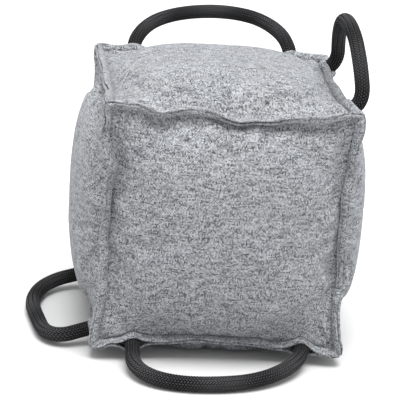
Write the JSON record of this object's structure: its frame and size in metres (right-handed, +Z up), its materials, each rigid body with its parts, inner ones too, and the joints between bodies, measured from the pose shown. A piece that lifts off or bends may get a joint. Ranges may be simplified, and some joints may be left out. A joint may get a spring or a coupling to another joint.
{
  "type": "training bumper",
  "caption": "Soft stuffed cube for training dogs to bite and retrieve, in woven cloth with standing welted seams and black braided rope handles that swing.",
  "frame": {"origin": "under the centre of the cube, on the plane that its flattened bottom panel rests on", "axes": "+Z up, +X to the side whose handle is sewn into the top edge, +Y towards the back, away from the side whose handle lies on the ground"},
  "size_m": [0.2755, 0.3302, 0.2769],
  "materials": {
    "cover_cloth": "heather grey melange weave, matt",
    "liner_cloth": "plain undyed cotton",
    "stuffing": "packed textile fibre",
    "rope_sheath": "black braided polyester, slight sheen",
    "rope_core": "twisted white fibre",
    "seam_thread": "grey sewing thread",
    "tack_thread": "black sewing thread"
  },
  "bodies": {
    "bumper": {"front_panel": "cover_cloth", "back_panel": "cover_cloth", "left_panel": "cover_cloth", "right_panel": "cover_cloth", "top_panel": "cover_cloth", "bottom_panel": "cover_cloth", "inner_liner": "liner_cloth", "stuffing": "stuffing", "top_seam_threads": "seam_thread", "bottom_seam_threads": "seam_thread", "side_seam_threads": "seam_thread", "back_handle_tails": "rope_sheath", "back_handle_tacks": "tack_thread", "right_handle_tails": "rope_sheath", "right_handle_tacks": "tack_thread", "front_handle_tails": "rope_sheath", "front_handle_tacks": "tack_thread", "left_handle_tails": "rope_sheath", "left_handle_tacks": "tack_thread"},
    "back_handle": {"back_handle_sheath": "rope_sheath", "back_handle_core": "rope_core"},
    "right_handle": {"right_handle_sheath": "rope_sheath", "right_handle_core": "rope_core"},
    "front_handle": {"front_handle_sheath": "rope_sheath", "front_handle_core": "rope_core"},
    "left_handle": {"left_handle_sheath": "rope_sheath", "left_handle_core": "rope_core"}
  },
  "joints": [
    {"name": "back_handle_swing", "type": "hinge", "parent": "bumper", "child": "back_handle", "pos_m": [0, 0.10832, 0.22232], "axis": [-1, 0, 0], "range_deg": [-140, 100], "stiffness_Nm_per_rad": 0.4},
    {"name": "right_handle_swing", "type": "hinge", "parent": "bumper", "child": "right_handle", "pos_m": [0.10832, 0, 0.22232], "axis": [0, 1, 0], "range_deg": [-68, 172], "stiffness_Nm_per_rad": 0.4},
    {"name": "front_handle_swing", "type": "hinge", "parent": "bumper", "child": "front_handle", "pos_m": [0, -0.11079, 0.0125], "axis": [-1, 0, 0], "range_deg": [-112, 80], "stiffness_Nm_per_rad": 0.4},
    {"name": "left_handle_swing", "type": "hinge", "parent": "bumper", "child": "left_handle", "pos_m": [-0.11079, 0, 0.0125], "axis": [0, 1, 0], "range_deg": [-110, 81], "stiffness_Nm_per_rad": 0.4}
  ]
}
